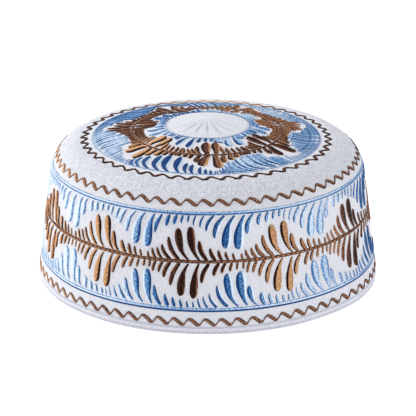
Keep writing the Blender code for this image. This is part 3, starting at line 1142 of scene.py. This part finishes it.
# Each edge line's name, chart and thread, its place in the chart and half width, the painted shade tone of its
# darker strand and its number of stitches
EDGE_LINES = (
    ("lower_edge_line", side_chart, SIDE_FERN_THREAD, LOWER_LINE - 0.45 * MM, 1.25 * MM, -0.7, 500),
    ("upper_edge_line", side_chart, SIDE_FERN_THREAD, UPPER_LINE, 1.05 * MM, 0.15, 500),
    ("crown_inner_line", crown_chart, CROWN_FERN_THREAD, INNER_LINE, 0.4 * MM, 0.15, 130),
    ("crown_outer_line", crown_chart, CROWN_FERN_THREAD, OUTER_LINE, 0.5 * MM, 0.15, 350),
)

# Each wave's name and chart, its middle in the chart and its rise, its number of waves and the angle of one
# crest, then its pen, its tones and where it runs paler, as wave explains them
SIDE_PEN = (0.45 * MM, 1.20 * MM)
SIDE_TONES = (0.60, -0.15)
# The side's waves are painted paler on the left, a painted highlight where the left softbox falls
LEFT_PAINTED_HIGHLIGHT = (-84.0, 50.0, 0.6)
CROWN_PEN = (0.65 * MM, 1.05 * MM)
CROWN_TONES = (0.30, -0.25)
PALE_BACK = (180.0, 55.0, 1.2)
WAVES = (
    ("lower_wave", side_chart, 6.6 * MM, 1.5 * MM, 70, -5.9, SIDE_PEN, SIDE_TONES, LEFT_PAINTED_HIGHLIGHT),
    ("upper_wave", side_chart, 69.5 * MM, 1.4 * MM, 62, -1.7, SIDE_PEN, SIDE_TONES, LEFT_PAINTED_HIGHLIGHT),
    ("crown_wave", crown_chart, 66.7 * MM, -1.45 * MM, 49, 1.5, CROWN_PEN, CROWN_TONES, PALE_BACK),
)


class CAP_OT_hem_cloth(bpy.types.Operator):
    """Make the turned-in hem that the cap stands on"""

    bl_idname = "cap.hem_cloth"
    bl_label = "Hem Cloth"

    def execute(self, context):
        rows = hem_rows(context.scene.cap_cloth.hem_thickness)
        columns = 3 * HEM_STITCHES
        cloth_wall("hem_cloth", rows, columns, hem_relief, "hem_cotton", ["rim_hem"], wrapped_map)
        return {"FINISHED"}


class CAP_OT_side_cloth(bpy.types.Operator):
    """Make the upright cloth of the side"""

    bl_idname = "cap.side_cloth"
    bl_label = "Side Cloth"

    def execute(self, context):
        rows = side_rows(context.scene.cap_cloth.wall_thickness)
        cloth_wall("side_cloth", rows, 360, side_relief, "band_cotton", ["side_band"], wrapped_map)
        return {"FINISHED"}


class CAP_OT_crown_cloth(bpy.types.Operator):
    """Make the crown's cloth with the quilting round its shoulder"""

    bl_idname = "cap.crown_cloth"
    bl_label = "Crown Cloth"

    def execute(self, context):
        rows = crown_rows(context.scene.cap_cloth.wall_thickness)
        columns = PITS_PER_ROW * COLUMNS_PER_PIT
        cloth_wall("crown_cloth", rows, columns, crown_relief, "crown_cotton", ["crown"], flat_map)
        return {"FINISHED"}


class CAP_OT_centre_cloth(bpy.types.Operator):
    """Make the small gathered disc at the crown's centre"""

    bl_idname = "cap.centre_cloth"
    bl_label = "Centre Cloth"

    def execute(self, context):
        rows = centre_rows(context.scene.cap_cloth.wall_thickness)
        columns = 20 * GATHERS
        cloth_wall(
            "centre_cloth", rows, columns, centre_relief, "centre_cotton", ["crown_centre"], flat_map
        )
        return {"FINISHED"}


class CAP_OT_vines(bpy.types.Operator):
    """Embroider the brown vines round the side and the crown: their leaves and their twisted stems"""

    bl_idname = "cap.vines"
    bl_label = "Vines"

    def execute(self, context):
        leaf_set("side_vine_leaves", "brown_thread", side_chart, SIDE_VINE_THREAD, SIDE_VINE)
        leaf_set("crown_vine_leaves", "brown_thread", crown_chart, CROWN_VINE_THREAD, CROWN_VINE)
        for details in STEMS:
            stem(*details)
        return {"FINISHED"}


class CAP_OT_ferns(bpy.types.Operator):
    """Embroider the blue fern leaves on both sides of each vine"""

    bl_idname = "cap.ferns"
    bl_label = "Fern Leaves"

    def execute(self, context):
        leaf_set("side_fern_leaves", "blue_thread", side_chart, SIDE_FERN_THREAD, SIDE_FERN)
        leaf_set("crown_fern_leaves", "blue_thread", crown_chart, CROWN_FERN_THREAD, CROWN_FERN)
        return {"FINISHED"}


class CAP_OT_edge_lines(bpy.types.Operator):
    """Embroider the blue lines that edge the side's and the crown's pattern"""

    bl_idname = "cap.edge_lines"
    bl_label = "Edge Lines"

    def execute(self, context):
        for details in EDGE_LINES:
            edge_line(*details)
        return {"FINISHED"}


class CAP_OT_waves(bpy.types.Operator):
    """Embroider the brown waves above the hem, below the shoulder's seam and round the crown"""

    bl_idname = "cap.waves"
    bl_label = "Waves"

    def execute(self, context):
        for details in WAVES:
            wave(*details)
        return {"FINISHED"}


# Studio

# Where each softbox stands, in degrees: its azimuth, counted like the cap's angles, and its elevation
SOFTBOXES = {"left": (-105.0, 38.0), "right": (66.0, 16.0), "back": (-150.0, 30.0)}
SOFTBOX_SIZE = 0.8
SOFTBOX_DISTANCE = 1.3
SOFTBOX_AIM = Vector((0.0, 0.0, 0.04))


def add_softbox(name, azimuth, elevation, power):
    """A large square area light that faces the cap."""
    light = bpy.data.lights.new(name, "AREA")
    light.shape = "SQUARE"
    light.size = SOFTBOX_SIZE
    light.energy = power
    turn = math.radians(azimuth)
    rise = math.radians(elevation)
    away = Vector((math.sin(turn) * math.cos(rise), -math.cos(turn) * math.cos(rise), math.sin(rise)))
    lamp = link_object(name, light)
    lamp.location = SOFTBOX_AIM + SOFTBOX_DISTANCE * away
    lamp.rotation_euler = away.to_track_quat("Z", "Y").to_euler()


def add_floor(settings):
    """A plain white table that glows a little, as a lit studio table does."""
    bm = bmesh.new()
    bmesh.ops.create_grid(bm, x_segments=1, y_segments=1, size=settings.floor_size / 2)
    material = bpy.data.materials.new("white_table")
    material.use_nodes = True
    shader = material.node_tree.nodes["Principled BSDF"]
    set_inputs(shader, {"Base Color": (0.6, 0.6, 0.6, 1.0), "Roughness": 0.9})
    set_inputs(shader, {"Emission Color": (1.0, 1.0, 1.0, 1.0), "Emission Strength": settings.floor_glow})
    floor = mesh_object("floor", bm, material)


class CAP_OT_studio(bpy.types.Operator):
    """Set up the pale floor, the soft light and the camera"""

    bl_idname = "cap.studio"
    bl_label = "Studio"

    def execute(self, context):
        settings = context.scene.cap_studio
        add_floor(settings)
        for side, (azimuth, elevation) in SOFTBOXES.items():
            add_softbox(side + "_softbox", azimuth, elevation, getattr(settings, side + "_power"))
        world = bpy.data.worlds.new("sky")
        world.use_nodes = True
        background = world.node_tree.nodes["Background"]
        set_inputs(background, {"Color": (0.96, 0.97, 1.0, 1.0), "Strength": settings.sky})
        context.scene.world = world
        camera = bpy.data.cameras.new("camera")
        camera.sensor_width = 36.0
        camera.lens = settings.lens
        camera.clip_start = 0.05
        camera.clip_end = 50.0
        holder = link_object("camera", camera)
        holder.location = settings.camera_place
        holder.rotation_euler = (settings.camera_pitch, 0.0, settings.camera_turn)
        context.scene.camera = holder
        context.scene.view_settings.view_transform = "Standard"
        return {"FINISHED"}


PIECE_OPERATORS = (
    CAP_OT_hem_cloth,
    CAP_OT_side_cloth,
    CAP_OT_crown_cloth,
    CAP_OT_centre_cloth,
    CAP_OT_vines,
    CAP_OT_ferns,
    CAP_OT_edge_lines,
    CAP_OT_waves,
    CAP_OT_studio,
)


class CAP_PT_sidebar(bpy.types.Panel):
    """Lists the cap's settings and the operators that make its pieces"""

    bl_idname = "CAP_PT_sidebar"
    bl_label = "Prayer Cap"
    bl_space_type = "VIEW_3D"
    bl_region_type = "UI"
    bl_category = "Prayer Cap"

    def draw(self, context):
        scene = context.scene
        for settings in (scene.cap_cloth, scene.cap_thread, scene.cap_studio):
            box = self.layout.box()
            for name in settings.__annotations__:
                box.prop(settings, name)
        for operator in PIECE_OPERATORS:
            self.layout.operator(operator.bl_idname)


SETTINGS = {
    "cap_cloth": ClothSettings,
    "cap_thread": ThreadSettings,
    "cap_studio": StudioSettings,
}
CLASSES = (*SETTINGS.values(), *PIECE_OPERATORS, CAP_PT_sidebar)


def register():
    """Registers the classes and adds the settings to the scene."""
    for cls in CLASSES:
        bpy.utils.register_class(cls)
    for name, cls in SETTINGS.items():
        setattr(bpy.types.Scene, name, bpy.props.PointerProperty(type=cls))


def unregister():
    """Takes the settings and the classes away again."""
    for name in SETTINGS:
        delattr(bpy.types.Scene, name)
    for cls in reversed(CLASSES):
        bpy.utils.unregister_class(cls)


def main():
    """Makes every piece and the studio in order."""
    register()
    for operator in PIECE_OPERATORS:
        group, name = operator.bl_idname.split(".")
        getattr(getattr(bpy.ops, group), name)()


if __name__ == "__main__":
    main()
